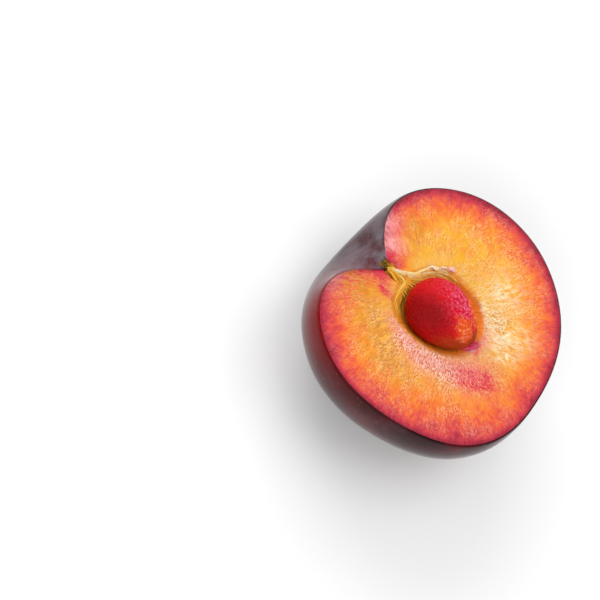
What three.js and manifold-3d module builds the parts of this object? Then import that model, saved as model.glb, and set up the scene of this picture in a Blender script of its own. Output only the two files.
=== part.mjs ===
// One half of a ripe plum, cut lengthways through the stalk dimple and twisted apart, with the stone
// still sitting in it. It lies on its round skin with the cut face up, on a small flat spot that the
// soft fruit's own weight presses in.
//
// Millimetres. +Z is up and square to the cut face, -X is the stalk end, +X the blossom end, -Y the
// front. The origin is on the surface that the half lies on, under the middle of its outline.
import * as THREE from "three";
import { mergeVertices } from "three/addons/utils/BufferGeometryUtils.js";
import Module from "manifold-3d";

// The middle of the cut face. What follows is measured from there.
const FACE_MIDDLE = new THREE.Vector3(-0.47, -2.83, 31.7);

// How far the face's edge is from its middle each way, before the stalk dimple is pressed in.
const FACE_REACH = { blossom: 28.3, stalk: 33.5, back: 32.5, front: 27.5 };
const FACE_SQUARENESS = 2.07;
// Shallow waves that flatten the blossom end and fill out the shoulders.
const FACE_WAVES = [
  { turns: 2, cos: 0, sin: -0.015 },
  { turns: 3, cos: 0.007, sin: -0.008 },
  { turns: 4, cos: 0.005, sin: -0.006 },
  { turns: 5, cos: -0.012, sin: 0 },
];

// The skin bulges out a little below the face before it curves in.
const WIDEST_BELOW_FACE = 6.0;
const BODY_DEPTH = 32.2;
const FLAT_SPOT_PRESSED_IN = 0.5;

// The dimple that the stalk grew from: its depth as a share of the reach, its spread in radians.
const STALK_WAY = new THREE.Vector3(-1, 0, 0);
const DIMPLE = { depth: 0.485, spread: 0.383, sharpness: 1.62 };

// The stone: an egg with its blunt end to the stalk, half above the face and half below.
const STONE_MIDDLE = new THREE.Vector3(-1.3, 1.1, 0.5);
const STONE = { stalk: 8.8, blossom: 9.7, side: 7.6, top: 5.4, bottom: 5.7, taper: 0.14 };

// The hollow that the stone came loose in: wider than the stone, with steeper sides.
const HOLLOW_MIDDLE = new THREE.Vector3(-1.9, 1.8, 0);
const HOLLOW = { stalk: 11.7, blossom: 11.6, side: 9.7, top: 0, bottom: 5.6, taper: 0.1 };
const STONE_SQUARENESS = 2;
const HOLLOW_SQUARENESS = 2.4;

// The short channel where the stalk's fibres ran from the dimple to the stone.
const CHANNEL_MIDDLE = new THREE.Vector3(-15, 0.6, 0.1);
const CHANNEL = { stalk: 3.6, blossom: 3.6, side: 1.5, top: 1.3, bottom: 1.3, taper: 0 };
const CHANNEL_SQUARENESS = 2;

// Fineness of the meshes: sides round the upright axis, and rings from top to bottom.
const HALF_SIDES = 90;
const HOLLOW_RINGS = 11;
const SKIN_RINGS = 32;
const SIDES_CROWDED_AT_STALK = 0.35;
const STONE_SIDES = 40;
const STONE_RINGS = 24;
const CHANNEL_SIDES = 16;
const CHANNEL_RINGS = 8;

const wasm = await Module();
wasm.setup();

// A closed ball of sides and rings with its poles at the top and the bottom. Each point is put where
// place() says for its angle round from the blossom end and its share of the way from top to bottom.
function ballPlacedBy(place, sides, rings) {
  const ball = new THREE.SphereGeometry(1, sides, rings);
  ball.rotateX(Math.PI / 2);
  const position = ball.getAttribute("position");
  for (let i = 0; i < position.count; i += 1) {
    const angle = Math.atan2(position.getY(i), position.getX(i));
    const down = Math.acos(THREE.MathUtils.clamp(position.getZ(i), -1, 1)) / Math.PI;
    const placed = place(angle, down);
    position.setXYZ(i, placed.x, placed.y, placed.z);
  }
  ball.deleteAttribute("normal");
  ball.deleteAttribute("uv");
  return mergeVertices(ball, 1e-4);
}

function solidFrom(geometry) {
  return new wasm.Manifold(
    new wasm.Mesh({
      numProp: 3,
      vertProperties: geometry.getAttribute("position").array,
      triVerts: new Uint32Array(geometry.index.array),
    }),
  );
}

function geometryFrom(solid) {
  const mesh = solid.getMesh();
  const geometry = new THREE.BufferGeometry();
  geometry.setAttribute("position", new THREE.BufferAttribute(mesh.vertProperties, 3));
  geometry.setIndex(new THREE.BufferAttribute(mesh.triVerts, 1));
  geometry.computeVertexNormals();
  return geometry;
}

// The reach of the cut face's edge from its middle, at an angle from the blossom end.
function faceReach(angle) {
  const along = Math.cos(angle) / (Math.cos(angle) > 0 ? FACE_REACH.blossom : FACE_REACH.stalk);
  const across = Math.sin(angle) / (Math.sin(angle) > 0 ? FACE_REACH.back : FACE_REACH.front);
  const powers = Math.abs(along) ** FACE_SQUARENESS + Math.abs(across) ** FACE_SQUARENESS;
  const waves = FACE_WAVES.map((w) => w.cos * Math.cos(w.turns * angle) + w.sin * Math.sin(w.turns * angle));
  return powers ** (-1 / FACE_SQUARENESS) * waves.reduce((sum, wave) => sum + wave, 1);
}

// A point of the skin at a depth below the face.
function skinPoint(angle, depth) {
  const halfHeight = BODY_DEPTH - WIDEST_BELOW_FACE;
  const ringAtFace = Math.sqrt(1 - (WIDEST_BELOW_FACE / halfHeight) ** 2);
  const ring = Math.sqrt(Math.max(0, 1 - ((depth - WIDEST_BELOW_FACE) / halfHeight) ** 2));
  const reach = (faceReach(angle) * ring) / ringAtFace;
  const point = new THREE.Vector3(reach * Math.cos(angle), reach * Math.sin(angle), -depth);
  const offStalk = point.angleTo(STALK_WAY) / DIMPLE.spread;
  return point.multiplyScalar(1 - DIMPLE.depth * Math.exp(-(offStalk ** DIMPLE.sharpness)));
}

// A point of the half: its rings climb the hollow from the bottom to the rim, cross the face to its
// edge, and go down the skin to the edge of the flat spot.
function halfPoint(evenAngle, down) {
  const ring = Math.round(down * (HOLLOW_RINGS + SKIN_RINGS));
  const angle = evenAngle + SIDES_CROWDED_AT_STALK * Math.sin(evenAngle);
  if (ring <= HOLLOW_RINGS) {
    return eggPoint(angle, 1 - ring / (2 * HOLLOW_RINGS), HOLLOW, HOLLOW_SQUARENESS).add(HOLLOW_MIDDLE);
  }
  const flatDepth = BODY_DEPTH - FLAT_SPOT_PRESSED_IN;
  if (ring === HOLLOW_RINGS + SKIN_RINGS) {
    return new THREE.Vector3(0, 0, -flatDepth);
  }
  const halfHeight = BODY_DEPTH - WIDEST_BELOW_FACE;
  const slopeAtFace = Math.asin(-WIDEST_BELOW_FACE / halfHeight);
  const slopeAtFlat = Math.asin((flatDepth - WIDEST_BELOW_FACE) / halfHeight);
  const share = (ring - HOLLOW_RINGS - 1) / (SKIN_RINGS - 2);
  const slope = THREE.MathUtils.lerp(slopeAtFace, slopeAtFlat, share);
  const point = skinPoint(angle, WIDEST_BELOW_FACE + halfHeight * Math.sin(slope));
  return share === 1 ? point.setZ(-flatDepth) : point;
}

// A point of an egg that narrows towards the blossom end.
function eggPoint(angle, down, egg, squareness) {
  const polar = down * Math.PI;
  const level = Math.sin(polar);
  const way = new THREE.Vector3(level * Math.cos(angle), level * Math.sin(angle), Math.cos(polar));
  const powers = [way.x, way.y, way.z].reduce((sum, part) => sum + Math.abs(part) ** squareness, 0);
  way.multiplyScalar(powers ** (-1 / squareness));
  const narrowed = 1 - egg.taper * (way.x + 0.25 * way.x ** 2);
  return new THREE.Vector3(
    way.x * (way.x > 0 ? egg.blossom : egg.stalk),
    way.y * egg.side * narrowed,
    way.z * (way.z > 0 ? egg.top : egg.bottom) * narrowed,
  );
}

function eggAt(middle, egg, squareness, sides, rings) {
  const shape = ballPlacedBy((angle, down) => eggPoint(angle, down, egg, squareness), sides, rings);
  return shape.translate(middle.x, middle.y, middle.z);
}

function fruitHalf() {
  const half = ballPlacedBy(halfPoint, HALF_SIDES, HOLLOW_RINGS + SKIN_RINGS);
  const channel = eggAt(CHANNEL_MIDDLE, CHANNEL, CHANNEL_SQUARENESS, CHANNEL_SIDES, CHANNEL_RINGS);
  const channelled = geometryFrom(solidFrom(half).subtract(solidFrom(channel)));
  const material = new THREE.MeshStandardMaterial({ color: 0x3a1220, roughness: 0.25, metalness: 0 });
  const mesh = new THREE.Mesh(channelled, material);
  mesh.name = "fruit_half";
  return mesh;
}

function stone() {
  const egg = eggAt(STONE_MIDDLE, STONE, STONE_SQUARENESS, STONE_SIDES, STONE_RINGS);
  const material = new THREE.MeshStandardMaterial({ color: 0xa8121c, roughness: 0.6, metalness: 0 });
  const mesh = new THREE.Mesh(egg, material);
  mesh.name = "stone";
  return mesh;
}

const plum = new THREE.Group();
plum.add(fruitHalf(), stone());
plum.position.copy(FACE_MIDDLE);
export default plum;
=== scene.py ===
"""Looks of a plum half that lies on its skin with its stone in the hollow of the cut face.

Sizes are in millimetres until a mesh is finished, and places are measured from the middle of the cut
face: +X to the blossom end, -X to the stalk, +Z up and square to the face. A way round the fruit is an
angle from the blossom end towards +Y.
"""

import logging
import math
from dataclasses import dataclass, field
from enum import Enum

import bmesh
import bpy
from mathutils import Matrix, Vector, noise


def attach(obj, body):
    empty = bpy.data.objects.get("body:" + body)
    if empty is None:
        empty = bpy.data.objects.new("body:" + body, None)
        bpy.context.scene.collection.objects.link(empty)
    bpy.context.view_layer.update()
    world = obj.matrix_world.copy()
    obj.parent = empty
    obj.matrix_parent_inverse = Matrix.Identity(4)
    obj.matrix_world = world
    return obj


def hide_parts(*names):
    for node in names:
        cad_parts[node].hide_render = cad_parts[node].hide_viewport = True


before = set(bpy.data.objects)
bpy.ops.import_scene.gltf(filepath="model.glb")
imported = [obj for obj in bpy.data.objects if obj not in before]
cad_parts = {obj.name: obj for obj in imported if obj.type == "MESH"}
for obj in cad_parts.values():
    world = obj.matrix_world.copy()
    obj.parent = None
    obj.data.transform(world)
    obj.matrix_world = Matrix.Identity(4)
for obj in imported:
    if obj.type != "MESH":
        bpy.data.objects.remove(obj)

log = logging.getLogger("plum")

MM = 0.001
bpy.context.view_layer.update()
STALK_WAY = Vector((-1, 0, 0))
# Seeds of neighbouring strands are this far apart in the noise that shapes them.
SEED_STEP = 3

Colour = tuple[float, float, float]
Point = tuple[float, float, float]
Socket = bpy.types.NodeSocket
Layers = dict[str, bmesh.types.BMLayerItem]


def colour(red: int, green: int, blue: int) -> Colour:
    """A colour as seen on a screen, 0 to 255, turned into the linear values that shading works in."""
    seen = [channel / 255 for channel in (red, green, blue)]
    return tuple(c / 12.92 if c <= 0.04045 else ((c + 0.055) / 1.055) ** 2.4 for c in seen)


def smooth(low: float, high: float, value: float) -> float:
    """How far a value is from low to high, 0 to 1, with soft ends. High may be under low."""
    share = min(1.0, max(0.0, (value - low) / (high - low)))
    return share * share * (3 - 2 * share)


def between(ends: tuple[float, float], share: float) -> float:
    """The value at a share of the way from the first end to the second."""
    return ends[0] + (ends[1] - ends[0]) * share


def bell(value: float, middle: float, width: float) -> float:
    """A soft bump over a line: 1 in its middle, and next to nothing two widths away."""
    return math.exp(-(((value - middle) / width) ** 2))


def grain(x: float, y: float, z: float, seed: float = 0.0) -> float:
    """Smooth noise from -1 to 1, the same on each run. One unit is about one lump."""
    return noise.noise(Vector((x + seed, y - seed, z + 0.37 * seed)))


def lumps(point: Vector, for_each_mm: float, seed: float) -> float:
    """Smooth noise from -1 to 1 at a point, with so many lumps for each millimetre."""
    return grain(for_each_mm * point.x, for_each_mm * point.y, for_each_mm * point.z, seed)


def level_way(angle: float) -> Vector:
    """The level direction at a way round, in radians."""
    return Vector((math.cos(angle), math.sin(angle), 0))


class Region(Enum):
    """The parts of the half's surface, in the order of its material slots."""

    FLESH = 0
    SKIN = 1


@dataclass(frozen=True)
class Egg:
    """A rounded shape that narrows towards the blossom end, in millimetres from the face's middle."""

    middle: Point
    stalk: float
    blossom: float
    side: float
    top: float
    bottom: float
    taper: float
    squareness: float

    def point(self, way: Vector) -> Vector:
        """The point of the surface out along a way from the egg's middle.

        Args:
            way: a direction of length 1.

        Returns:
            The point, from the face's middle.
        """
        powers = sum(abs(part) ** self.squareness for part in way)
        unit = way * powers ** (-1 / self.squareness)
        narrowed = 1 - self.taper * (unit.x + 0.25 * unit.x**2)
        reach = Vector((
            unit.x * (self.blossom if unit.x > 0 else self.stalk),
            unit.y * self.side * narrowed,
            unit.z * (self.top if unit.z > 0 else self.bottom) * narrowed,
        ))
        return reach + Vector(self.middle)


@dataclass(frozen=True)
class PlumShape:
    """The driving sizes of the half, the same as the solid's."""

    face_middle: Point = (-0.47, -2.83, 31.7)
    reach_blossom: float = 28.3
    reach_stalk: float = 33.5
    reach_back: float = 32.5
    reach_front: float = 27.5
    squareness: float = 2.07
    waves: tuple[tuple[int, float, float], ...] = (
        (2, 0.0, -0.015),
        (3, 0.007, -0.008),
        (4, 0.005, -0.006),
        (5, -0.012, 0.0),
    )
    widest_below_face: float = 6.0
    body_depth: float = 32.2
    flat_spot_pressed_in: float = 0.5
    dimple_depth: float = 0.485
    dimple_spread: float = 0.383
    dimple_sharpness: float = 1.62
    stone: Egg = Egg((-1.3, 1.1, 0.5), 8.8, 9.7, 7.6, 5.4, 5.7, 0.14, 2.0)
    hollow: Egg = Egg((-1.9, 1.8, 0.0), 11.7, 11.6, 9.7, 0.0, 5.6, 0.1, 2.4)
    channel: Egg = Egg((-15.0, 0.6, 0.1), 3.6, 3.6, 1.5, 1.3, 1.3, 0.0, 2.0)

    @property
    def half_height(self) -> float:
        """How far the body reaches below its widest level."""
        return self.body_depth - self.widest_below_face

    @property
    def flat_depth(self) -> float:
        """How far the flat spot is below the face."""
        return self.body_depth - self.flat_spot_pressed_in

    def face_reach(self, angle: float) -> float:
        """The reach of the face's edge before the stalk dimple is pressed in.

        Args:
            angle: the way round, in radians.

        Returns:
            The reach from the face's middle.
        """
        along = math.cos(angle) / (self.reach_blossom if math.cos(angle) > 0 else self.reach_stalk)
        across = math.sin(angle) / (self.reach_back if math.sin(angle) > 0 else self.reach_front)
        powers = abs(along) ** self.squareness + abs(across) ** self.squareness
        waved = sum(c * math.cos(n * angle) + s * math.sin(n * angle) for n, c, s in self.waves)
        return powers ** (-1 / self.squareness) * (1 + waved)

    def dimpled(self, point: Vector) -> Vector:
        """A point of the plain body, drawn towards the face's middle where the dimple is pressed in."""
        off_stalk = point.angle(STALK_WAY, math.pi) / self.dimple_spread
        return point * (1 - self.dimple_depth * math.exp(-(off_stalk**self.dimple_sharpness)))

    def edge_reach(self, angle: float) -> float:
        """The reach of the face's edge with its notch, at a way round in radians."""
        return self.dimpled(level_way(angle) * self.face_reach(angle)).length

    def skin_point(self, angle: float, depth: float) -> Vector:
        """A point of the skin.

        Args:
            angle: the way round, in radians.
            depth: how far below the face.

        Returns:
            The point, from the face's middle.
        """
        ring_at_face = math.sqrt(1 - (self.widest_below_face / self.half_height) ** 2)
        ring = math.sqrt(max(0.0, 1 - ((depth - self.widest_below_face) / self.half_height) ** 2))
        reach = self.face_reach(angle) * ring / ring_at_face
        return self.dimpled(Vector((reach * math.cos(angle), reach * math.sin(angle), -depth)))


SHAPE = PlumShape()


@dataclass(frozen=True)
class Patch:
    """A soft-edged oval area of the face, in millimetres from the face's middle, turned in degrees."""

    x: float
    y: float
    along: float
    across: float
    turn: float = 0.0

    def share(self, x: float, y: float) -> float:
        """How much of the patch there is at a point, 1 in the middle and 0 well outside.

        Args:
            x: the point's place along the fruit.
            y: the point's place across the fruit.

        Returns:
            The share.
        """
        turn = math.radians(self.turn)
        off_x = x - self.x
        off_y = y - self.y
        along = (off_x * math.cos(turn) + off_y * math.sin(turn)) / self.along
        across = (off_y * math.cos(turn) - off_x * math.sin(turn)) / self.across
        return math.exp(-(along**2) - across**2)


Patches = tuple[Patch, ...]


def shared(patches: Patches, x: float, y: float) -> float:
    """How much of some patches there is at a point, all together."""
    return sum(patch.share(x, y) for patch in patches)


@dataclass(frozen=True)
class Arc:
    """A soft-ended stretch of the way round, in degrees, with its strength in its middle."""

    way: float
    spread: float
    strength: float = 1.0

    def share(self, degrees: float) -> float:
        """How strong it is at a way round."""
        return self.strength * bell(degrees, self.way, self.spread)


class NodeSheet:
    """The nodes of one material, world or group, with short ways to add and join them."""

    def __init__(self, tree: bpy.types.NodeTree) -> None:
        """Keeps the tree that the nodes go into."""
        self.tree = tree

    def add(self, kind: str, inputs: dict | None = None, **settings: object) -> bpy.types.Node:
        """Adds a node.

        Args:
            kind: the node's type name.
            inputs: input names or numbers, each to a value or to the output that feeds it.
            settings: the node's own settings.

        Returns:
            The new node.
        """
        node = self.tree.nodes.new(kind)
        for name, value in settings.items():
            setattr(node, name, value)
        for name, value in (inputs or {}).items():
            self.feed(node.inputs[name], value)
        return node

    def feed(self, socket: Socket, value: object) -> None:
        """Sets an input, or links it.

        Args:
            socket: the input.
            value: its value, or the output that feeds it.
        """
        if isinstance(value, Socket):
            self.tree.links.new(value, socket)
        elif isinstance(value, tuple) and socket.type == "RGBA":
            socket.default_value = (*value, 1.0)
        else:
            socket.default_value = value

    def math(self, operation: str, *values: object, clamp: bool = False) -> Socket:
        """Works on numbers by one of the Math node's operations, and clamps to 0 to 1 if told."""
        inputs = dict(enumerate(values))
        return self.add("ShaderNodeMath", inputs, operation=operation, use_clamp=clamp).outputs[0]

    def plus(self, first: object, second: object, clamp: bool = False) -> Socket:
        """The sum of two numbers."""
        return self.math("ADD", first, second, clamp=clamp)

    def minus(self, first: object, second: object, clamp: bool = False) -> Socket:
        """The first number less the second."""
        return self.math("SUBTRACT", first, second, clamp=clamp)

    def times(self, first: object, second: object, clamp: bool = False) -> Socket:
        """The product of two numbers."""
        return self.math("MULTIPLY", first, second, clamp=clamp)

    def mix(self, share: object, low: object, high: object) -> Socket:
        """Mixes two colours.

        Args:
            share: how much of the second one.
            low: the first colour or output.
            high: the second colour or output.

        Returns:
            The colour's output.
        """
        node = self.add("ShaderNodeMix", data_type="RGBA")
        for number, value in ((0, share), (6, low), (7, high)):
            self.feed(node.inputs[number], value)
        return node.outputs[2]

    def ramp(self, share: object, stops: tuple[tuple[float, Colour], ...]) -> Socket:
        """Turns a number into a colour.

        Args:
            share: the number, 0 to 1.
            stops: places from 0 to 1, each with its colour.

        Returns:
            The colour's output.
        """
        node = self.add("ShaderNodeValToRGB", {"Fac": share})
        elements = node.color_ramp.elements
        while len(elements) < len(stops):
            elements.new(1.0)
        for element, (place, shade) in zip(elements, stops):
            element.position = place
            element.color = (*shade, 1.0)
        return node.outputs["Color"]

    def spread(self, value: object, low: float, high: float) -> Socket:
        """Places a number softly between two bounds, as 0 to 1."""
        inputs = {"Value": value, "From Min": low, "From Max": high}
        return self.add("ShaderNodeMapRange", inputs, interpolation_type="SMOOTHSTEP").outputs["Result"]

    def stretch(self, value: object, low: float, high: float, full: float = 1.0) -> Socket:
        """Turns a number from 0 to full evenly into one from low to high."""
        inputs = {"Value": value, "From Max": full, "To Min": low, "To Max": high}
        return self.add("ShaderNodeMapRange", inputs).outputs["Result"]

    def attribute(self, name: str, output: str = "Fac") -> Socket:
        """Reads a value that the mesh holds at each vertex."""
        return self.add("ShaderNodeAttribute", attribute_name=name).outputs[output]

    def place(self) -> Socket:
        """The shaded point's place on the object, in metres."""
        return self.add("ShaderNodeTexCoord").outputs["Object"]

    def noise(self, where: object, scale: float, detail: float = 2.0, rough: float = 0.5) -> Socket:
        """Soft noise from about 0.2 to 0.8, with so many lumps for each unit, and finer layers on them."""
        inputs = {"Vector": where, "Scale": scale, "Detail": detail, "Roughness": rough}
        return self.add("ShaderNodeTexNoise", inputs).outputs["Fac"]

    def group(self, tree: bpy.types.NodeTree, inputs: dict[str, object]) -> bpy.types.Node:
        """Places a group with its own values."""
        return self.add("ShaderNodeGroup", inputs, node_tree=tree)


class MaterialSheet(NodeSheet):
    """The nodes of one material with a Principled shader."""

    def __init__(self, name: str) -> None:
        """Starts the material.

        Args:
            name: the material's name.
        """
        self.material = bpy.data.materials.new(name)
        self.material.use_nodes = True
        super().__init__(self.material.node_tree)
        self.shader = self.material.node_tree.nodes["Principled BSDF"]

    def tint(
        self,
        body: Socket,
        shade: Colour,
        name: str,
        pattern: Socket,
        low: float,
        high: float,
        strength: float = 1.0,
    ) -> Socket:
        """Lays a shade over a colour where an attribute has it, broken up by a pattern.

        Args:
            body: the colour under it.
            shade: the shade.
            name: the attribute's name.
            pattern: the pattern.
            low: where the pattern lets none of the shade through.
            high: where the pattern lets all of it through.
            strength: how much of the shade there is at most.

        Returns:
            The new colour's output.
        """
        share = self.times(self.attribute(name), self.spread(pattern, low, high))
        return self.mix(self.times(share, strength), body, shade)

    def bump(self, height: Socket, strength: float, depth: float) -> None:
        """Gives the shader fine relief, with its depth in millimetres."""
        inputs = {"Height": height, "Strength": strength, "Distance": depth * MM}
        self.feed(self.shader.inputs["Normal"], self.add("ShaderNodeBump", inputs).outputs["Normal"])

    def shade(self, inputs: dict[str, object]) -> bpy.types.Material:
        """Sets or links the shader's inputs by name, and gives the material."""
        for name, value in inputs.items():
            self.feed(self.shader.inputs[name], value)
        return self.material


def new_group(name: str, inputs: dict[str, float | None], outputs: tuple[str, ...]) -> NodeSheet:
    """Starts a shader node group.

    Args:
        name: the group's name.
        inputs: each input's name and number, or None where it is a vector.
        outputs: the names of the numbers that it puts out.

    Returns:
        The sheet of its nodes, with "Group Input" and "Group Output" on it.
    """
    tree = bpy.data.node_groups.new(name, "ShaderNodeTree")
    for label, value in inputs.items():
        kind = "NodeSocketVector" if value is None else "NodeSocketFloat"
        socket = tree.interface.new_socket(label, in_out="INPUT", socket_type=kind)
        if value is not None:
            socket.default_value = value
    for label in outputs:
        tree.interface.new_socket(label, in_out="OUTPUT", socket_type="NodeSocketFloat")
    sheet = NodeSheet(tree)
    sheet.add("NodeGroupInput", name="Group Input")
    sheet.add("NodeGroupOutput", name="Group Output")
    return sheet


@dataclass
class Groups:
    """The effects that more than one finish uses, each built once."""

    made: dict[str, bpy.types.NodeTree] = field(default_factory=dict)

    def fibres(self) -> bpy.types.NodeTree:
        """Streaks of torn fibre that run outwards from the stone.

        Returns:
            A group with the inputs Way, Across and Along, and the outputs Streak and Fine.
        """
        if "fibres" not in self.made:
            sheet = new_group("fibres", {"Way": None, "Across": 1.0, "Along": 0.3}, ("Streak", "Fine"))
            given = sheet.tree.nodes["Group Input"].outputs
            stretch = sheet.add("ShaderNodeCombineXYZ", {0: given[1], 1: given[1], 2: given[2]}).outputs[0]
            stretched = {0: given[0], 1: stretch}
            way = sheet.add("ShaderNodeVectorMath", stretched, operation="MULTIPLY").outputs[0]
            for name, scale, detail, distortion, low, high in (
                ("Streak", 1.0, 3.0, 0.6, 0.28, 0.72),
                ("Fine", 2.6, 2.0, 0.4, 0.3, 0.7),
            ):
                inputs = {"Vector": way, "Scale": scale, "Detail": detail, "Distortion": distortion}
                pattern = sheet.add("ShaderNodeTexNoise", inputs).outputs["Fac"]
                sheet.feed(sheet.tree.nodes["Group Output"].inputs[name], sheet.spread(pattern, low, high))
            self.made["fibres"] = sheet.tree
        return self.made["fibres"]

    def cells(self) -> bpy.types.NodeTree:
        """The wet grain of burst juice cells.

        Returns:
            A group with the inputs Place and Cells for each mm, and the output Bump.
        """
        if "cells" not in self.made:
            sheet = new_group("cells", {"Place": None, "Cells for each mm": 2.0}, ("Bump",))
            given = sheet.tree.nodes["Group Input"].outputs
            scale = sheet.times(given[1], 1 / MM)
            inputs = {"Vector": given[0], "Scale": scale, "Randomness": 1.0}
            cell = sheet.add("ShaderNodeTexVoronoi", inputs, feature="SMOOTH_F1")
            lump = sheet.minus(1.0, cell.outputs["Distance"])
            wander = sheet.noise(given[0], scale, 3.0)
            sheet.feed(sheet.tree.nodes["Group Output"].inputs["Bump"], sheet.plus(lump, wander))
            self.made["cells"] = sheet.tree
        return self.made["cells"]


GROUPS = Groups()


@dataclass(frozen=True)
class FleshFinish:
    """Wet cut flesh: yellow inside, blushing to crimson under the skin, with torn fibres, juice cells,
    painted glints and painted shade between them.
    """

    ripening: tuple[tuple[float, Colour], ...] = (
        (0.0, colour(246, 182, 72)),
        (0.16, colour(244, 164, 50)),
        (0.32, colour(245, 140, 44)),
        (0.50, colour(240, 108, 46)),
        (0.64, colour(228, 80, 60)),
        (0.78, colour(206, 52, 68)),
        (0.90, colour(172, 30, 56)),
        (1.0, colour(112, 18, 34)),
    )
    gold: Colour = colour(246, 178, 24)
    cream: Colour = colour(255, 232, 186)
    flush: Colour = colour(246, 138, 124)
    blush: Colour = colour(222, 40, 72)
    # Painted highlights of the wet flesh, and the painted shade between them.
    glint: Colour = colour(255, 228, 180)
    pink_glint: Colour = colour(255, 222, 220)
    painted_pit_shade: Colour = colour(196, 104, 16)
    ochre: Colour = colour(218, 138, 28)
    olive: Colour = colour(255, 160, 44)
    amber: Colour = colour(255, 146, 50)
    sheath: Colour = colour(255, 196, 60)
    rose: Colour = colour(252, 168, 168)
    cells_for_each_mm: float = 2.2
    relief: float = 0.22

    def material(self) -> bpy.types.Material:
        """Builds the material.

        Returns:
            The flesh's material.
        """
        sheet = MaterialSheet("plum_flesh")
        way = sheet.attribute("fibre_way", "Vector")
        fibre = sheet.group(GROUPS.fibres(), {"Way": way, "Across": 1.1, "Along": 0.5}).outputs["Streak"]
        grains = sheet.group(GROUPS.fibres(), {"Way": way, "Across": 1.8, "Along": 0.7}).outputs
        juice = {"Place": sheet.place(), "Cells for each mm": self.cells_for_each_mm}
        cells = sheet.group(GROUPS.cells(), juice).outputs["Bump"]
        body = self.ripened(sheet, fibre, grains["Streak"])
        body = sheet.tint(body, self.cream, "pale", fibre, 0.1, 0.8, 0.85)
        body = sheet.tint(body, self.ochre, "ochre", fibre, 0.1, 0.6, 0.9)
        body = sheet.tint(body, self.flush, "pink", fibre, -0.6, 0.5, 0.85)
        body = sheet.tint(body, self.rose, "rose", grains["Streak"], 1.8, 0.0)
        drift = sheet.spread(sheet.noise(sheet.place(), 210, 3.0, 0.6), 0.36, 0.6)
        # Painted glints and the painted shade between them go where the wet attribute has them, more in the
        # pink band.
        painted_glint_spread = sheet.math("MAXIMUM", drift, sheet.times(sheet.attribute("pink"), 0.8))
        wet = sheet.times(sheet.attribute("wet"), painted_glint_spread)
        painted_pit_shading = sheet.times(sheet.spread(grains["Fine"], 0.56, 0.14), wet)
        body = sheet.mix(sheet.times(painted_pit_shading, 0.8, clamp=True), body, self.painted_pit_shade)
        walled = sheet.minus(sheet.attribute("wall"), sheet.attribute("blush"), clamp=True)
        body = sheet.mix(walled, body, self.amber)
        body = sheet.mix(sheet.attribute("olive"), body, self.olive)
        body = sheet.tint(body, self.sheath, "sheath", fibre, -0.4, 0.6)
        # Painted highlights, pinker in the pink band.
        glint = sheet.mix(sheet.attribute("pink"), self.glint, self.pink_glint)
        glinting = sheet.times(sheet.spread(grains["Fine"], 0.44, 0.84), wet)
        body = sheet.mix(sheet.times(glinting, 0.86, clamp=True), body, glint)
        uneven = sheet.times(sheet.spread(grains["Fine"], 1.3, 0.1), sheet.spread(drift, 2.2, -0.4))
        blushed = sheet.times(sheet.attribute("blush"), uneven)
        body = sheet.mix(sheet.times(blushed, 1.3, clamp=True), body, self.blush)
        height = sheet.plus(sheet.times(grains["Streak"], 0.9), sheet.times(cells, 0.5))
        sheet.bump(sheet.plus(height, fibre), 0.7, self.relief)
        return sheet.shade({
            "Base Color": body,
            "Roughness": sheet.stretch(grains["Fine"], 0.5, 0.26),
            "IOR": 1.38,
            "Specular IOR Level": 0.4,
            "Subsurface Weight": 0.18,
            "Subsurface Radius": (1.0, 0.42, 0.16),
            "Subsurface Scale": 1.2 * MM,
        })

    def ripened(self, sheet: MaterialSheet, fibre: Socket, grains: Socket) -> Socket:
        """The colour of the flesh by its ripeness, with golden clouds where it is least ripe.

        Args:
            sheet: the material's nodes.
            fibre: the coarse streaks, 0 to 1.
            grains: the fine streaks, 0 to 1.

        Returns:
            The colour's output.
        """
        ripe = sheet.attribute("ripe")
        blotch = sheet.minus(sheet.noise(sheet.place(), 260, 3.0), 0.5)
        shift = sheet.times(sheet.minus(fibre, 0.5), 0.09)
        shift = sheet.plus(shift, sheet.times(sheet.minus(grains, 0.5), 0.18))
        shift = sheet.plus(shift, sheet.times(blotch, 0.5))
        shift = sheet.times(shift, sheet.spread(ripe, 1.1, 0.6))
        body = sheet.ramp(sheet.plus(ripe, shift, clamp=True), self.ripening)
        golden = sheet.spread(sheet.noise(sheet.place(), 340, 4.0, 0.6), 0.46, 0.62)
        golden = sheet.times(golden, sheet.spread(ripe, 0.5, 0.2))
        golden = sheet.times(golden, sheet.plus(sheet.attribute("golden"), 0.35, clamp=True))
        return sheet.mix(sheet.times(golden, 0.85), body, self.gold)


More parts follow.
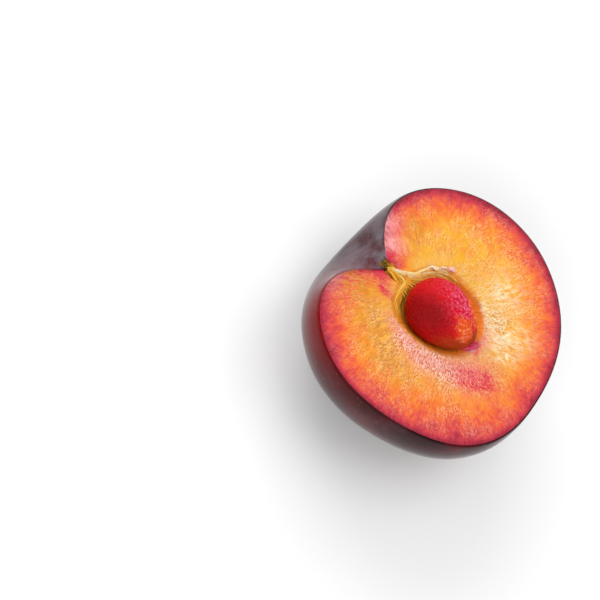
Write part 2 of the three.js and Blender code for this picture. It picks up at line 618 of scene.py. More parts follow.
@dataclass(frozen=True)
class SkinFinish:
    """Thin glossy skin, nearly black, with a wine tint, a painted red glow near the cut, faint wax, a bloom
    by the stalk that is also a painted grey sheen, and tiny pale dots.
    """

    dark: Colour = colour(42, 4, 9)
    wine: Colour = colour(84, 2, 10)
    # A painted red glow of light through the thin skin near the cut.
    painted_glow: Colour = colour(126, 0, 4)
    # Wax bloom, which by the stalk is also a painted grey sheen.
    wax: Colour = colour(136, 132, 140)
    dot: Colour = colour(170, 120, 120)
    dots_for_each_metre: float = 520.0
    relief: float = 0.2

    def material(self) -> bpy.types.Material:
        """Builds the material.

        Returns:
            The skin's material.
        """
        sheet = MaterialSheet("plum_skin")
        place = sheet.place()
        cloud = sheet.noise(place, 70, 4.0, 0.6)
        body = sheet.mix(sheet.spread(cloud, 0.42, 0.7), self.dark, self.wine)
        # Painted red glow near the cut.
        body = sheet.mix(sheet.attribute("painted_glow"), body, self.painted_glow)
        wax_and_sheen = sheet.times(sheet.spread(sheet.noise(place, 110, 5.0, 0.7), 0.5, 0.8), 0.1)
        # The bloom by the stalk, strong enough to be a painted grey sheen as well.
        bloom_and_sheen = sheet.spread(sheet.noise(place, 160, 4.0, 0.6), 0.3, 0.66)
        bloom_and_sheen = sheet.times(sheet.times(bloom_and_sheen, sheet.attribute("bloom_and_sheen")), 0.85)
        wax_and_sheen = sheet.plus(wax_and_sheen, bloom_and_sheen, clamp=True)
        body = sheet.mix(wax_and_sheen, body, self.wax)
        scattered = {"Vector": place, "Scale": self.dots_for_each_metre, "Randomness": 1.0}
        dots = sheet.add("ShaderNodeTexVoronoi", scattered).outputs["Distance"]
        body = sheet.mix(sheet.times(sheet.spread(dots, 0.13, 0.05), 0.28), body, self.dot)
        sheet.bump(sheet.noise(place, 420, 3.0, 0.6), 0.12, self.relief)
        return sheet.shade({
            "Base Color": body,
            "Roughness": sheet.stretch(wax_and_sheen, 0.12, 0.3, 0.6),
            "IOR": 1.3,
            "Specular IOR Level": 0.26,
        })


@dataclass(frozen=True)
class StoneFinish:
    """A crimson stone, fuzzy with wet torn fibre, with a painted pink sheen, painted shade, and flesh with
    painted glints clinging to its blossom end.
    """

    crimson: Colour = colour(222, 2, 12)
    # The mottling's dark end, and the painted shade of the stone's -X, -Y side.
    deep: Colour = colour(146, 0, 4)
    # Magenta under a pink: the painted sheen of the stone's +Y side.
    magenta: Colour = colour(204, 14, 52)
    painted_fuzz_sheen: Colour = colour(242, 118, 152)
    speck: Colour = colour(236, 70, 72)
    dull: Colour = colour(160, 58, 16)
    clinging: Colour = colour(228, 80, 22)
    # Pale juice specks: painted glints on the clinging flesh.
    juice: Colour = colour(252, 176, 130)
    cells_for_each_mm: float = 2.0
    relief: float = 0.25

    def material(self) -> bpy.types.Material:
        """Builds the material.

        Returns:
            The stone's material.
        """
        sheet = MaterialSheet("plum_stone")
        juice = {"Place": sheet.place(), "Cells for each mm": self.cells_for_each_mm}
        cells = sheet.group(GROUPS.cells(), juice).outputs["Bump"]
        cloud = sheet.noise(sheet.place(), 330, 4.0, 0.65)
        mottled = sheet.times(sheet.minus(cloud, 0.5), 1.2)
        # Painted shade where the depth attribute has it, over the mottling.
        lit = sheet.minus(sheet.plus(mottled, 0.9), sheet.attribute("depth"), clamp=True)
        body = sheet.mix(lit, self.deep, self.crimson)
        body = sheet.mix(sheet.times(sheet.spread(cells, 1.2, 1.6), 0.3), body, self.speck)
        # Painted sheen: magenta, then pink broken up by the cells.
        body = sheet.mix(sheet.times(sheet.attribute("painted_fuzz_sheen"), 0.75), body, self.magenta)
        body = sheet.tint(body, self.painted_fuzz_sheen, "painted_fuzz_sheen", cells, 0.85, 1.5)
        body = sheet.mix(sheet.attribute("skirt"), body, self.dull)
        # Clinging flesh with painted glints in the juice colour.
        flesh = sheet.mix(sheet.spread(cells, 1.0, 1.55), self.clinging, self.juice)
        body = sheet.mix(sheet.attribute("clinging"), body, flesh)
        sheet.bump(cells, 0.6, self.relief)
        return sheet.shade({
            "Base Color": body,
            "Roughness": sheet.stretch(cloud, 0.34, 0.6),
            "IOR": 1.4,
            "Specular IOR Level": 0.15,
            "Subsurface Weight": 0.12,
            "Subsurface Radius": (1.0, 0.2, 0.15),
            "Subsurface Scale": 0.8 * MM,
        })


@dataclass(frozen=True)
class FibreFinish:
    """Torn, wet fibres, from cream over yellow and olive to dark green."""

    shades: tuple[tuple[float, Colour], ...] = (
        (0.0, colour(255, 236, 204)),
        (0.2, colour(255, 218, 130)),
        (0.4, colour(255, 196, 66)),
        (0.6, colour(240, 156, 30)),
        (0.8, colour(176, 120, 22)),
        (1.0, colour(52, 58, 14)),
    )
    pink: Colour = colour(250, 196, 190)
    magenta: Colour = colour(206, 30, 84)
    relief: float = 0.3

    def material(self) -> bpy.types.Material:
        """Builds the material.

        Returns:
            The fibres' material.
        """
        sheet = MaterialSheet("plum_fibre")
        drawn = {"Way": sheet.attribute("strand_way", "Vector"), "Across": 3.2, "Along": 0.8}
        streak = sheet.group(GROUPS.fibres(), drawn).outputs["Streak"]
        cloud = sheet.plus(streak, sheet.noise(sheet.place(), 900, 3.0, 0.6))
        uneven = sheet.times(sheet.minus(cloud, 1.0), -0.34)
        body = sheet.ramp(sheet.plus(sheet.attribute("shade"), uneven, clamp=True), self.shades)
        body = sheet.mix(sheet.times(sheet.attribute("pink"), 1.0, clamp=True), body, self.pink)
        deeper = sheet.times(sheet.minus(sheet.attribute("pink"), 1.0, clamp=True), cloud, clamp=True)
        body = sheet.mix(deeper, body, self.magenta)
        sheet.bump(cloud, 0.5, self.relief)
        return sheet.shade({
            "Base Color": body,
            "Roughness": 0.4,
            "IOR": 1.36,
            "Specular IOR Level": 0.3,
            "Subsurface Weight": 0.2,
            "Subsurface Radius": (1.0, 0.7, 0.3),
            "Subsurface Scale": 0.4 * MM,
        })


@dataclass(frozen=True)
class FloorFinish:
    """The plain white floor that the half lies on."""

    white: Colour = (0.97, 0.97, 0.972)
    shaded_share: float = 0.985

    def material(self) -> bpy.types.Material:
        """Builds the material, with a faint unevenness.

        Returns:
            The floor's material.
        """
        sheet = MaterialSheet("studio_floor")
        grey = tuple(part * self.shaded_share for part in self.white)
        return sheet.shade({
            "Base Color": sheet.mix(sheet.noise(sheet.place(), 4, 2.0), grey, self.white),
            "Roughness": 0.7,
            "Specular IOR Level": 0.2,
        })


def new_layers(bm: bmesh.types.BMesh, numbers: tuple[str, ...], vector: str = "") -> Layers:
    """Adds the values that a finish reads at each vertex.

    Args:
        bm: the mesh.
        numbers: the names of the values that are numbers.
        vector: the name of the one that is a vector, if there is one.

    Returns:
        The mesh's layers by name.
    """
    layers = {name: bm.verts.layers.float.new(name) for name in numbers}
    if vector:
        layers[vector] = bm.verts.layers.float_vector.new(vector)
    return layers


def finished_piece(
    name: str, bm: bmesh.types.BMesh, materials: list[bpy.types.Material], node: str
) -> bpy.types.Object:
    """Makes a piece of a mesh in millimetres from the face's middle, and joins it to the frame.

    Args:
        name: the piece's name.
        bm: the mesh. It is freed here.
        materials: the piece's materials, in the order of its faces' material numbers.
        node: the solid that the piece stands for, or nothing.

    Returns:
        The finished piece.
    """
    bm.transform(Matrix.Scale(MM, 4) @ Matrix.Translation(Vector(SHAPE.face_middle)))
    for face in bm.faces:
        face.smooth = True
    mesh = bpy.data.meshes.new(name)
    bm.to_mesh(mesh)
    bm.free()
    for material in materials:
        mesh.materials.append(material)
    piece = bpy.data.objects.new(name, mesh)
    bpy.context.scene.collection.objects.link(piece)
    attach(piece, "root")
    if node:
        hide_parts(node)
    log.info("%s: %d faces", name, len(mesh.polygons))
    return piece


@dataclass
class FruitHalf:
    """The half's flesh and skin as one closed surface.

    Its rings climb the hollow from its bottom to its rim, cross the face to its edge, turn over the
    edge and go down the skin to the middle of the flat spot.
    """

    sides: int = 440
    crowding_at_stalk: float = 0.2
    hollow_rings: int = 34
    face_rings: int = 84
    edge_rings: int = 4
    skin_rings: int = 56
    edge_round: float = 0.3
    fibre_radius: float = 18.0
    fibre_relief: float = 0.11
    swell: float = 0.16
    lip_height: float = 0.35
    lip_width: float = 1.6
    lip_from_rim: float = 0.7
    rim_sunk: float = 0.3
    rim_raggedness: float = 0.35
    groove_depth: float = 0.16
    funnel: tuple[float, float] = (0.26, 0.24)
    sheath: Arc = Arc(155.0, 48.0)
    sheath_leans_in: float = 1.3
    sheath_drawn_in: float = 0.18
    skin_ripple: float = 0.004
    crimson: tuple[Arc, ...] = (Arc(100.0, 55.0, 1.3), Arc(-150.0, 18.0, 0.8))
    coral: tuple[Arc, ...] = (Arc(-45.0, 40.0, 0.22), Arc(-140.0, 25.0, 0.16))
    coral_reach: float = 13.0
    ripe_at_skin: float = 0.35
    ripe_at_skin_width: float = 1.2
    ripe_inside: float = 0.72
    ripe_inside_width: float = 8.6
    ripest: float = 0.92
    # Where the skin's painted red glow lies round the fruit, and how far down it reaches.
    painted_glow: Arc = Arc(215.0, 38.0)
    painted_glow_depth: float = 14.0
    # How far from the stalk the bloom and its painted sheen spread.
    bloom_and_sheen_spread: float = 0.42
    pale: Patches = (
        Patch(9.0, 8.0, 3.6, 3.0, 40),
        Patch(16.0, 4.6, 3.2, 2.2, 30),
        Patch(13.5, 8.5, 6.0, 3.4, 40),
        Patch(6.5, 16.0, 4.5, 5.0),
        Patch(5.8, 9.2, 1.6, 4.6, 50),
    )
    golden: Patches = (
        Patch(-17.0, -11.0, 5.5, 6.0),
        Patch(-9.0, -15.5, 7.0, 4.0, -30),
        Patch(-16.5, 12.0, 4.0, 6.0, -20),
        Patch(-7.0, 18.0, 8.0, 5.0),
        Patch(3.0, 14.5, 5.0, 4.0, 30),
    )
    blush: Patches = (
        Patch(16.2, -3.0, 3.6, 3.0, 40),
        Patch(12.6, -6.6, 3.6, 2.4, 20),
        Patch(10.0, 1.0, 0.9, 2.0, 20),
        Patch(-17.0, -2.2, 2.4, 1.2, -25),
        Patch(-14.2, -4.1, 2.2, 1.2, -15),
        Patch(-18.8, 3.1, 2.0, 0.9, 55),
    )
    streaks: Patches = (Patch(-16.6, -1.9, 1.8, 0.8, -10), Patch(-14.7, -3.8, 1.9, 0.8, -10))
    ochre: Patches = (
        Patch(-20.0, -9.0, 4.0, 3.6, -30),
        Patch(-10.0, -11.5, 8.0, 4.4, -25),
        Patch(-2.0, -16.5, 6.0, 3.0),
        Patch(-18.5, 12.0, 2.6, 4.0, 30),
    )
    rose: Patches = (
        Patch(-20.4, 5.6, 3.2, 2.2, 35),
        Patch(-25.0, 8.5, 3.4, 2.6, 35),
        Patch(-26.5, -8.5, 5.0, 2.0, -60),
    )
    pink: Patches = (
        Patch(-4.0, -9.2, 6.0, 1.9, -12),
        Patch(4.0, -9.2, 6.0, 3.2, 15),
        Patch(12.5, -4.8, 5.6, 4.4, 35),
        Patch(9.4, 3.0, 2.0, 3.4),
    )
    olive: Patches = (Patch(-11.5, -1.5, 3.2, 6.5, 25), Patch(-2.0, -8.0, 8.0, 3.0, 10))
    # Where the flesh gets more painted glints and painted shade between them.
    wet: Patches = (
        Patch(-1.0, -9.4, 8.5, 2.2, 3),
        Patch(5.0, -9.4, 6.0, 3.0, 18),
        Patch(-6.5, -8.6, 3.6, 1.8, -30),
        Patch(10.0, 9.0, 5.0, 3.0, 40),
    )

    @property
    def edge_start(self) -> int:
        """The last ring of the face, where its edge starts to turn over."""
        return self.hollow_rings + self.face_rings

    @property
    def skin_start(self) -> int:
        """The first ring of the skin."""
        return self.edge_start + self.edge_rings

    @property
    def rings(self) -> int:
        """The last ring, which is the middle of the flat spot."""
        return self.skin_start + self.skin_rings

    def sheath_share(self, angle: float) -> float:
        """How much of the torn yellow sheath there is round the hollow, 1 in its middle."""
        return self.sheath.share(math.degrees(angle) % 360)

    def surface_point(self, degrees: float, inside: float, lift: float) -> Vector:
        """A point on or over the flesh.

        Args:
            degrees: the way round.
            inside: down the hollow's wall from 0 at its rim to 1 at its bottom, or out over the face where
                it is under 0, to -1 at the skin.
            lift: how far up from the flesh.

        Returns:
            The point.
        """
        angle = math.radians(degrees)
        point = self.hollow_point(angle, 1 - inside) if inside > 0 else self.face_point(angle, -inside)
        return point + Vector((0, 0, lift))

    def rim_point(self, angle: float) -> Vector:
        """The hollow's torn rim.

        Args:
            angle: the way round, in radians.

        Returns:
            The point of the rim, level with the face.
        """
        way = level_way(angle)
        torn = grain(3.2 * way.x, 3.2 * way.y, 0, 11) + 0.5 * grain(9 * way.x, 9 * way.y, 0, 5)
        out = torn * self.rim_raggedness - self.sheath_leans_in * self.sheath_share(angle)
        return SHAPE.hollow.point(way) + way * out

    def hollow_point(self, angle: float, share: float) -> Vector:
        """A point of the hollow's wall.

        Args:
            angle: the way round, in radians.
            share: 0 at the bottom to 1 at the rim.

        Returns:
            The point.
        """
        polar = share * math.pi / 2
        level = math.sin(polar)
        way = Vector((level * math.cos(angle), level * math.sin(angle), -math.cos(polar)))
        even = SHAPE.hollow.point(way)
        torn = self.rim_point(angle) - SHAPE.hollow.point(level_way(angle))
        grooved = grain(14 * math.cos(angle), 14 * math.sin(angle), 1.5 * share, 3)
        groove = self.groove_depth * grooved * level
        funnel = between(self.funnel, 0.5 + 0.5 * math.sin(angle))
        funnel += self.sheath_drawn_in * self.sheath_share(angle)
        off = even - Vector(SHAPE.hollow.middle)
        drawn_in = Vector((off.x, off.y, 0)) * funnel * math.sin(2 * polar)
        return even - drawn_in + torn * share**2 + Vector((way.x, way.y, 0)) * groove

    def face_point(self, angle: float, share: float) -> Vector:
        """A point of the cut face with its relief.

        Args:
            angle: the way round, in radians.
            share: 0 at the hollow's rim to 1 at the skin.

        Returns:
            The point.
        """
        rim = self.rim_point(angle)
        way = level_way(angle)
        point = rim.lerp(way * (SHAPE.edge_reach(angle) - self.edge_round), share)
        out = (point - rim).length
        x = 1.25 * self.fibre_radius * math.cos(angle)
        y = 1.25 * self.fibre_radius * math.sin(angle)
        fibre = grain(x, y, 0.22 * out, 1) + 0.6 * grain(0.5 * x, 0.5 * y, 0.1 * out, 7)
        swell = grain(0.16 * point.x, 0.16 * point.y, 0, 21)
        uneven = 0.75 + 0.5 * grain(4 * math.cos(angle), 4 * math.sin(angle), 0, 9)
        lip = bell(out, self.lip_from_rim, self.lip_width) * uneven
        point.z = smooth(1.0, 0.97, share) * (self.fibre_relief * fibre + self.swell * swell)
        point.z += self.lip_height * lip - self.rim_sunk * smooth(0.45, 0.0, out) - self.channel_depth(point)
        return point

    def channel_depth(self, point: Vector) -> float:
        """How deep the stalk's channel is at a point of the face.

        Args:
            point: the point.

        Returns:
            The depth, 0 outside the channel.
        """
        channel = SHAPE.channel
        along = (point.x - channel.middle[0]) / channel.stalk
        across = (point.y - channel.middle[1]) / channel.side
        return channel.bottom * math.sqrt(max(0.0, 1 - along**4 - across**2))

    def skin_point(self, angle: float, share: float) -> Vector:
        """A point of the skin.

        Args:
            angle: the way round, in radians.
            share: 0 just under the face's edge to 1 at the flat spot's edge.

        Returns:
            The point.
        """
        low, high = (
            math.asin((depth - SHAPE.widest_below_face) / SHAPE.half_height)
            for depth in (self.edge_round, SHAPE.flat_depth)
        )
        depth = SHAPE.widest_below_face + SHAPE.half_height * math.sin(between((low, high), share))
        point = SHAPE.skin_point(angle, depth)
        ripple = self.skin_ripple * lumps(point, 0.11, 31)
        point *= 1 + ripple * smooth(0.0, 0.15, share) * smooth(1.0, 0.8, share)
        if share == 1:
            point.z = -SHAPE.flat_depth
        return point

    def place(self, vert: bmesh.types.BMVert) -> tuple[Vector, int, float]:
        """Where a vertex of the starting ball goes.

        Args:
            vert: a vertex of a ball of radius 1.

        Returns:
            Its new place, its ring and its angle.
        """
        ring = round(math.acos(min(1.0, max(-1.0, vert.co.z))) / math.pi * self.rings)
        even_angle = math.atan2(vert.co.y, vert.co.x)
        angle = even_angle + self.crowding_at_stalk * math.sin(even_angle)
        if ring < self.hollow_rings:
            point = self.hollow_point(angle, ring / self.hollow_rings)
        elif ring <= self.edge_start:
            point = self.face_point(angle, (ring - self.hollow_rings) / self.face_rings)
        elif ring < self.skin_start:
            turn = (ring - self.edge_start) / self.edge_rings * math.pi / 2
            reach = SHAPE.edge_reach(angle) - self.edge_round * (1 - math.sin(turn))
            down = self.edge_round * (1 - math.cos(turn))
            point = Vector((reach * math.cos(angle), reach * math.sin(angle), -down))
        elif ring < self.rings:
            point = self.skin_point(angle, (ring - self.skin_start) / (self.skin_rings - 1))
        else:
            point = Vector((0, 0, -SHAPE.flat_depth))
        return point, ring, angle

    def inset(self, point: Vector, angle: float, step: float = 0.01) -> float:
        """How far inside the skin a point of the face is, square to its edge.

        Args:
            point: the point.
            angle: its way round, in radians.
            step: how far aside the edge's slope is read.

        Returns:
            The distance, 0 outside the face.
        """
        reach = SHAPE.edge_reach(angle)
        slope = (SHAPE.edge_reach(angle + step) - SHAPE.edge_reach(angle - step)) / (2 * step)
        return max(0.0, reach - math.hypot(point.x, point.y)) / math.sqrt(1 + (slope / reach) ** 2)

    def ripeness(self, point: Vector, angle: float, inset: float, out: float) -> float:
        """How ripe the flesh looks.

        Args:
            point: the point of the face.
            angle: its way round, in radians.
            inset: how far inside the skin it is.
            out: how far from the hollow's rim it is.

        Returns:
            The ripeness, from 0 for yellow to 1 for dark crimson.
        """
        crimson, coral = (
            sum(arc.share(math.degrees(angle)) for arc in arcs) for arcs in (self.crimson, self.coral)
        )
        ripe = self.ripe_at_skin * math.exp(-inset / (self.ripe_at_skin_width + crimson))
        ripe += self.ripe_inside * math.exp(-((inset / self.ripe_inside_width) ** 1.3))
        ripe += coral * bell(inset, 0, self.coral_reach) * (1 - bell(inset, 0, 3))
        ripe *= 0.4 + 0.6 * smooth(0.5, 4.0, out)
        return min(self.ripest, ripe + 0.04 * grain(0.3 * point.x, 0.3 * point.y, 0, 41))

    def paint(self, vert: bmesh.types.BMVert, ring: int, angle: float, layers: Layers) -> None:
        """Sets what the finishes read at a vertex.

        Args:
            vert: the vertex, in its place.
            ring: its ring.
            angle: its way round, in radians.
            layers: the mesh's layers by name.
        """
        x, y, z = vert.co
        inset = self.inset(vert.co, angle)
        out = (vert.co - self.rim_point(angle)).length if ring > self.hollow_rings else 0.0
        turned = level_way(angle) * self.fibre_radius
        vert[layers["fibre_way"]] = Vector((turned.x, turned.y, out + max(0.0, -z)))
        vert[layers["ripe"]] = self.ripeness(vert.co, angle, inset, out)
        vert[layers["pale"]] = shared(self.pale, x, y)
        zones = {"golden": self.golden, "pink": self.pink, "ochre": self.ochre, "rose": self.rose}
        for name, patches in zones.items():
            vert[layers[name]] = min(1.0, shared(patches, x, y))
        blush = min(1.0, 1.3 * shared(self.blush, x, y))
        vert[layers["blush"]] = blush + 0.8 * shared(self.streaks, x, y)
        # How much painted glint, and painted shade between glints, the flesh gets.
        wet = (0.4 + 0.9 * shared(self.wet, x, y)) * (0.6 + 0.4 * smooth(4.0, 9.0, inset))
        vert[layers["wet"]] = min(1.0, wet) * smooth(-0.6, 0.0, z) * smooth(0.5, 3.0, inset)
        channelled = 0.0 if ring > self.edge_start else smooth(0.1, 0.5, self.channel_depth(vert.co))
        hollowed = ring <= self.hollow_rings + 2
        wall = smooth(0.1, -0.6, z) if hollowed else channelled
        shaded = shared(self.olive, x, y) if hollowed else 0.0
        vert[layers["olive"]] = min(1.0, shaded) * smooth(0.4, -0.4, z)
        vert[layers["wall"]] = wall
        vert[layers["sheath"]] = wall * self.sheath_share(angle)
        # The painted red glow of the skin near the cut.
        vert[layers["painted_glow"]] = smooth(-self.painted_glow_depth, -1.0, z) * self.painted_glow.share(math.degrees(angle) % 360)
        # The bloom by the stalk, with its painted grey sheen.
        vert[layers["bloom_and_sheen"]] = bell(vert.co.angle(STALK_WAY, math.pi), 0, self.bloom_and_sheen_spread)

    def build(self) -> bpy.types.Object:
        """Builds and dresses the half.

        Returns:
            The finished piece.
        """
        bm = bmesh.new()
        bmesh.ops.create_uvsphere(bm, u_segments=self.sides, v_segments=self.rings, radius=1.0)
        zones = ("pale", "golden", "ochre", "blush", "rose", "pink", "olive")
        layers = new_layers(bm, ("ripe", *zones, "wet", "wall", "sheath", "painted_glow", "bloom_and_sheen"), "fibre_way")
        ring_of = {}
        for vert in bm.verts:
            vert.co, ring, angle = self.place(vert)
            ring_of[vert] = ring
            self.paint(vert, ring, angle, layers)
        for face in bm.faces:
            on_flesh = max(ring_of[vert] for vert in face.verts) <= self.edge_start
            face.material_index = (Region.FLESH if on_flesh else Region.SKIN).value
        materials = [FleshFinish().material(), SkinFinish().material()]
        return finished_piece("fruit_half_fine", bm, materials, "fruit_half")


@dataclass
class Stone:
    """The stone, an egg with a fuzzy, pocked surface, a painted sheen towards +Y and painted shade towards
    -X and -Y.
    """

    fineness: int = 6
    # Where the painted sheen lies.
    painted_fuzz_sheen: Patch = Patch(0.8, 5.0, 6.0, 3.9, -15)
    # Where the painted shade lies.
    deep: Patch = Patch(-4.0, -4.2, 8.0, 5.2, 0)
    clinging: Patches = (Patch(4.6, 0.4, 3.0, 2.8, -20), Patch(3.2, 6.2, 4.0, 1.3, -35))
    skirt: Patches = (Patch(6.0, -4.5, 5.5, 2.6, 35), Patch(8.0, 0.0, 1.6, 5.0))
    sunk: float = 0.1

    def build(self) -> bpy.types.Object:
        """Builds and dresses the stone.

        Returns:
            The finished piece.
        """
        bm = bmesh.new()
        bmesh.ops.create_icosphere(bm, subdivisions=self.fineness, radius=1.0)
        layers = new_layers(bm, ("painted_fuzz_sheen", "clinging", "skirt", "depth"))
        for vert in bm.verts:
            way = vert.co.normalized()
            point = SHAPE.stone.point(way)
            held = smooth(0.25, 0.8, shared(self.clinging, point.x, point.y) + 0.3 * lumps(point, 0.6, 51))
            low = shared(self.skirt, point.x, point.y) + smooth(-1.0, -3.0, point.z)
            pits = 0.12 * lumps(point, 0.9, 61) + 0.06 * lumps(point, 2.1, 71)
            lump = held * (0.15 + 0.25 * lumps(point, 1.1, 81))
            vert.co = point + way * (pits + lump - self.sunk)
            # Painted sheen, kept off the clinging flesh.
            vert[layers["painted_fuzz_sheen"]] = self.painted_fuzz_sheen.share(point.x, point.y) * (1 - held)
            vert[layers["clinging"]] = held
            # Painted shade, read by the finish as depth.
            vert[layers["depth"]] = self.deep.share(point.x, point.y)
            vert[layers["skirt"]] = 0.9 * smooth(0.1, 0.9, low + 0.2 * lumps(point, 1.0, 91))
        return finished_piece("stone_fine", bm, [StoneFinish().material()], "stone")


@dataclass(frozen=True)
class Strand:
    """One strand of torn flesh, from the face's middle. Its shade is 0 for cream to 1 for dark green."""

    path: tuple[Point, ...]
    width: float
    thickness: float
    shade: float
    seed: float
    pink: float = 0.0
    sides: int = 12
    rings: int = 44

    def along(self, share: float) -> Vector:
        """A point of the strand's middle line.

        Args:
            share: 0 at its start to 1 at its end.

        Returns:
            The point of a smooth curve through the path.
        """
        last = len(self.path) - 1
        start = min(int(share * last), last - 1)
        part = share * last - start
        near = [Vector(self.path[min(last, max(0, start + step))]) for step in (-1, 0, 1, 2)]
        bend = (near[1] * 2 + (near[2] - near[0]) * part
                + (near[0] * 2 - near[1] * 5 + near[2] * 4 - near[3]) * part**2
                + (near[1] * 3 - near[0] - near[2] * 3 + near[3]) * part**3)
        return bend / 2

    def add_to(self, bm: bmesh.types.BMesh, layers: Layers) -> None:
        """Adds the strand to a mesh as a closed tube.

        Args:
            bm: the mesh.
            layers: its layers by name.
        """
        made = bmesh.ops.create_uvsphere(bm, u_segments=self.sides, v_segments=self.rings, radius=1.0)
        for vert in made["verts"]:
            share = math.acos(min(1.0, max(-1.0, vert.co.z))) / math.pi
            angle = math.atan2(vert.co.y, vert.co.x)
            middle = self.along(share)
            ahead = (self.along(min(1.0, share + 0.02)) - self.along(max(0.0, share - 0.02))).normalized()
            side = ahead.cross(Vector((0, 0, 1))).normalized()
            lift = side.cross(ahead)
            full = math.sin(math.pi * share) ** 0.6
            groove = self.width * 1.3
            line = grain(groove * math.cos(angle), groove * math.sin(angle), 2.2 * share, self.seed)
            uneven = 1 + 0.35 * line + 0.25 * grain(9 * share, math.cos(angle), math.sin(angle), self.seed)
            wander = 0.25 * grain(5 * share, 0, 0, self.seed + 3) * full
            across = side * (math.cos(angle) * self.width / 2 * uneven * full + wander)
            vert.co = middle + across + lift * math.sin(angle) * self.thickness / 2 * uneven * full
            cloudy = 0.12 * grain(6 * share, angle, 0, self.seed + 7)
            vert[layers["shade"]] = self.shade - 0.3 * line + cloudy
            vert[layers["pink"]] = self.pink
            turned = level_way(angle) * self.width
            vert[layers["strand_way"]] = turned + Vector((self.seed, 0, middle.length))


@dataclass(frozen=True)
class Sweep:
    """Strands side by side that leave the notch and follow the flesh round the hollow.

    A pair of values holds those of the first and of the last strand. Ways are in degrees.
    """

    strands: int
    ways: tuple[float, ...]
    inside: tuple[float, float]
    lifts: tuple[float, ...]
    width: float
    thickness: float
    shade: tuple[float, float]
    seed: float
    notch: tuple[Point, ...] = ((-18.2, 0.4, -0.1), (-16.4, 0.9, 0.1))

    def path(self, half: FruitHalf, inside: float, lift: float, seed: float) -> tuple[Point, ...]:
        """The path of one strand.

        Args:
            half: the half that it lies on.
            inside: how far down the hollow's wall it runs at its far end.
            lift: how far over the flesh it runs.
            seed: what its wandering comes from.

        Returns:
            The path's points.
        """
        aside = Vector((0, 0.5 * grain(0, 0, 0, seed + 1), 0))
        points = [tuple(Vector(point) + aside) for point in self.notch]
        for step, way in enumerate(self.ways):
            share = (step + 1) / len(self.ways)
            down = inside * share**0.6 + 0.07 * grain(1.3 * step, 0, 0, seed)
            turned = way + 5 * grain(0, 1.1 * step, 0, seed)
            raised = lift * (1 - smooth(0.8, 1.0, share) * 2)
            points.append(tuple(half.surface_point(turned, down, raised)))
        return tuple(points)

    def build(self, half: FruitHalf) -> list[Strand]:
        """Makes the strands.

        Args:
            half: the half that they lie on.

        Returns:
            The strands.
        """
        made = []
        for number in range(self.strands):
            share = number / (self.strands - 1)
            seed = self.seed + SEED_STEP * number
            lift = self.lifts[number % len(self.lifts)]
            path = self.path(half, between(self.inside, share), lift, seed)
            made.append(Strand(path, self.width, self.thickness, between(self.shade, share), seed))
        return made


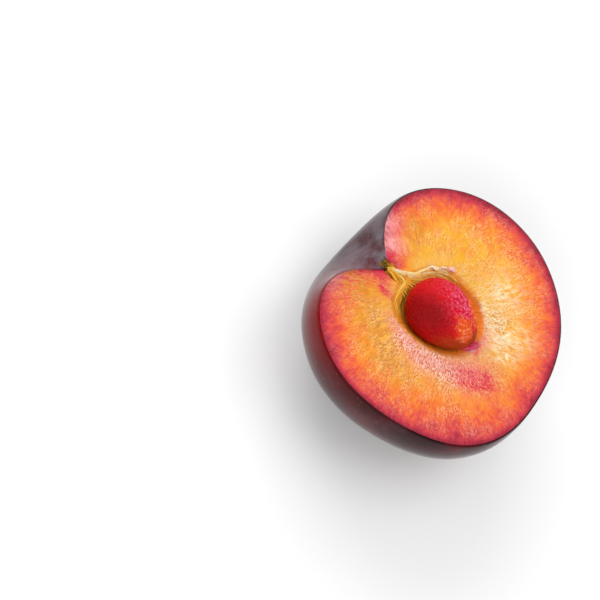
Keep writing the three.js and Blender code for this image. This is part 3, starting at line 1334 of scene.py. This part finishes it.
@dataclass
class TornFibres:
    """The fibres that ran from the stalk to the stone, and the flesh torn up beside the stone.

    The sweeps are the yellow sheath on the hollow's wall, behind the stone and in front of it, and the
    cream ridge of flesh torn up along the rim.
    """

    half: FruitHalf
    sweeps: tuple[Sweep, ...] = (
        Sweep(
            strands=15,
            ways=(168.0, 152.0, 138.0, 122.0, 108.0, 94.0),
            inside=(0.06, 0.5),
            lifts=(0.12,),
            width=0.75,
            thickness=0.55,
            shade=(0.3, 0.55),
            seed=20.0,
        ),
        Sweep(
            strands=9,
            ways=(188.0, 204.0, 220.0, 236.0),
            inside=(0.1, 0.4),
            lifts=(0.1,),
            width=0.5,
            thickness=0.4,
            shade=(0.42, 0.72),
            seed=90.0,
        ),
        Sweep(
            strands=5,
            ways=(168.0, 152.0, 136.0, 122.0, 112.0),
            inside=(0.02, 0.16),
            lifts=(0.24, 0.32),
            width=0.8,
            thickness=0.55,
            shade=(0.08, 0.32),
            seed=130.0,
        ),
    )
    bundle_strands: int = 7
    bundle_seed: float = 160.0
    tuft_strands: int = 12
    tuft_seed: float = 210.0
    bits: tuple[Strand, ...] = (
        Strand(
            ((-10.9, 7.3, 0.2), (-10.0, 8.2, 0.7), (-9.0, 8.6, 0.5), (-8.4, 9.3, 0.0)),
            0.6, 0.4, -0.1, 3.0, 0.2,
        ),
        Strand(((-8.7, 9.6, 0.1), (-7.9, 10.4, 0.7), (-7.2, 10.9, 0.1)), 0.7, 0.6, 0.0, 6.0, 0.5),
        Strand(((-7.0, 10.8, 0.0), (-6.3, 11.4, 0.6), (-5.3, 11.5, 0.1)), 1.1, 1.0, 0.0, 8.0, 0.9),
        Strand(
            ((7.2, -1.0, -1.6), (8.2, 0.1, -0.5), (9.1, 1.4, -0.2), (9.5, 2.8, -0.9)),
            2.4, 2.0, 0.0, 16.0, 2.0,
        ),
        Strand(((8.6, -1.2, -1.0), (9.5, 0.0, -0.1), (10.2, 1.4, -0.4)), 1.2, 0.9, 0.5, 18.0, 1.6),
    )

    def bundle(self) -> list[Strand]:
        """The fibres that cross from the notch to the stone's end.

        Returns:
            The strands.
        """
        strands = []
        for number in range(self.bundle_strands):
            spread = number / (self.bundle_strands - 1) - 0.5
            seed = self.bundle_seed + SEED_STEP * number
            wander = [0.3 * grain(step, 0, 0, seed) for step in range(3)]
            path = (
                (-18.4, 0.4 + 0.9 * spread, -0.1 + wander[0]),
                (-16.6, 0.7 + 1.2 * spread, 0.1 + wander[1]),
                (-14.6, 0.7 + 1.8 * spread, -0.1 + wander[2]),
                (-12.2, 0.9 + 3.2 * spread, -0.8),
                (-9.7, 1.0 + 5.0 * spread, -0.9),
            )
            strands.append(Strand(path, 0.55, 0.45, 0.5 + 0.2 * grain(3, 0, 0, seed), seed))
        return strands

    def tuft(self) -> list[Strand]:
        """The dark stubs of fibre where the stalk was.

        Returns:
            The strands.
        """
        strands = []
        for number in range(self.tuft_strands):
            seed = self.tuft_seed + SEED_STEP * number
            aside = 2.4 * grain(0, 0, 0, seed)
            up = 0.9 * grain(1, 0, 0, seed)
            far = 19.3 + 1.4 * grain(2, 0, 0, seed)
            path = (
                (-16.4, 0.6 + 0.5 * aside, -0.4),
                (-17.6, 0.5 + 0.6 * aside, 0.1 + 0.5 * up),
                (-far, 0.5 + aside, 0.1 + up),
            )
            strands.append(Strand(path, 0.5, 0.45, 0.95 + 0.5 * grain(3, 0, 0, seed), seed))
        return strands

    def build(self) -> bpy.types.Object:
        """Builds and dresses the strands.

        Returns:
            The finished piece.
        """
        bm = bmesh.new()
        layers = new_layers(bm, ("shade", "pink"), "strand_way")
        swept = [strand for sweep in self.sweeps for strand in sweep.build(self.half)]
        for strand in (*swept, *self.bundle(), *self.tuft(), *self.bits):
            strand.add_to(bm, layers)
        return finished_piece("torn_fibres", bm, [FibreFinish().material()], "")


@dataclass(frozen=True)
class PhotoCamera:
    """The camera, at the photograph's viewing angle and distance, in degrees, pixels and millimetres."""

    picture: float = 600.0
    sensor: float = 36.0
    lens: float = 96.83
    distance: float = 366.6
    face_tilt: float = 28.89
    normal_turn: float = 40.24
    fruit_turn: float = 6.84
    face_middle_right: float = 141.92
    face_middle_down: float = 21.83
    nearest: float = 10.0
    farthest: float = 20000.0

    def build(self) -> None:
        """Places the camera so that the face's middle lands where the photograph has it."""
        tilt, turn, spin = (math.radians(a) for a in (self.face_tilt, self.normal_turn, self.fruit_turn))
        up = Vector((math.sin(tilt) * math.cos(turn), math.sin(tilt) * math.sin(turn), math.cos(tilt)))
        side = Vector((math.sin(turn), -math.cos(turn), 0))
        along = side * math.cos(spin) + up.cross(side) * math.sin(spin)
        across = up.cross(along)
        seen = Matrix((along, across, up))
        focal = self.lens / self.sensor * self.picture
        aim = Vector((self.face_middle_right, -self.face_middle_down, -focal))
        turned = seen.to_quaternion() @ aim.rotation_difference(Vector((0, 0, -1)))
        middle = Vector(SHAPE.face_middle) + Vector((along.z, across.z, up.z)) * self.distance
        data = bpy.data.cameras.new("camera")
        data.lens = self.lens
        data.sensor_width = self.sensor
        data.clip_start = self.nearest * MM
        data.clip_end = self.farthest * MM
        camera = bpy.data.objects.new("camera", data)
        camera.matrix_world = Matrix.LocRotScale(middle * MM, turned, None)
        bpy.context.scene.collection.objects.link(camera)
        bpy.context.scene.camera = camera


@dataclass(frozen=True)
class SoftBox:
    """A soft light that looks at the fruit, with its sizes in metres."""

    name: str
    way: Point
    distance: float
    width: float
    height: float
    power: float

    def build(self) -> None:
        """Hangs the light."""
        data = bpy.data.lights.new(self.name, "AREA")
        data.shape = "RECTANGLE"
        data.size = self.width
        data.size_y = self.height
        data.energy = self.power
        light = bpy.data.objects.new(self.name, data)
        light.location = Vector(self.way).normalized() * self.distance
        light.rotation_euler = Vector(self.way).to_track_quat("Z", "Y").to_euler()
        bpy.context.scene.collection.objects.link(light)


@dataclass(frozen=True)
class Studio:
    """The white floor, the bright surroundings and the lights, with sizes in metres."""

    floor_side: float = 4.0
    surroundings: float = 0.56
    boxes: tuple[SoftBox, ...] = (
        SoftBox("key_back_left", (-0.62, 0.5, 0.6), 1.3, 0.9, 0.8, 6.2),
        SoftBox("overhead", (0.15, 0.15, 1.0), 1.3, 0.8, 0.8, 4.5),
        SoftBox("fill_front", (0.1, -0.75, 0.65), 1.3, 0.9, 0.7, 4.5),
    )

    def build(self) -> None:
        """Builds the floor, the surroundings and the lights, and sets how colours are shown."""
        bm = bmesh.new()
        bmesh.ops.create_grid(bm, x_segments=1, y_segments=1, size=self.floor_side / 2)
        mesh = bpy.data.meshes.new("floor")
        bm.to_mesh(mesh)
        bm.free()
        mesh.materials.append(FloorFinish().material())
        floor = bpy.data.objects.new("floor", mesh)
        bpy.context.scene.collection.objects.link(floor)
        world = bpy.data.worlds.new("surroundings")
        world.use_nodes = True
        background = world.node_tree.nodes["Background"]
        background.inputs["Color"].default_value = (1.0, 1.0, 1.0, 1.0)
        background.inputs["Strength"].default_value = self.surroundings
        bpy.context.scene.world = world
        for box in self.boxes:
            box.build()
        bpy.context.scene.view_settings.view_transform = "Standard"


def main() -> None:
    logging.basicConfig(level=logging.INFO, format="%(name)s: %(message)s")
    PhotoCamera().build()
    Studio().build()
    half = FruitHalf()
    half.build()
    Stone().build()
    TornFibres(half).build()


if __name__ == "__main__":
    main()
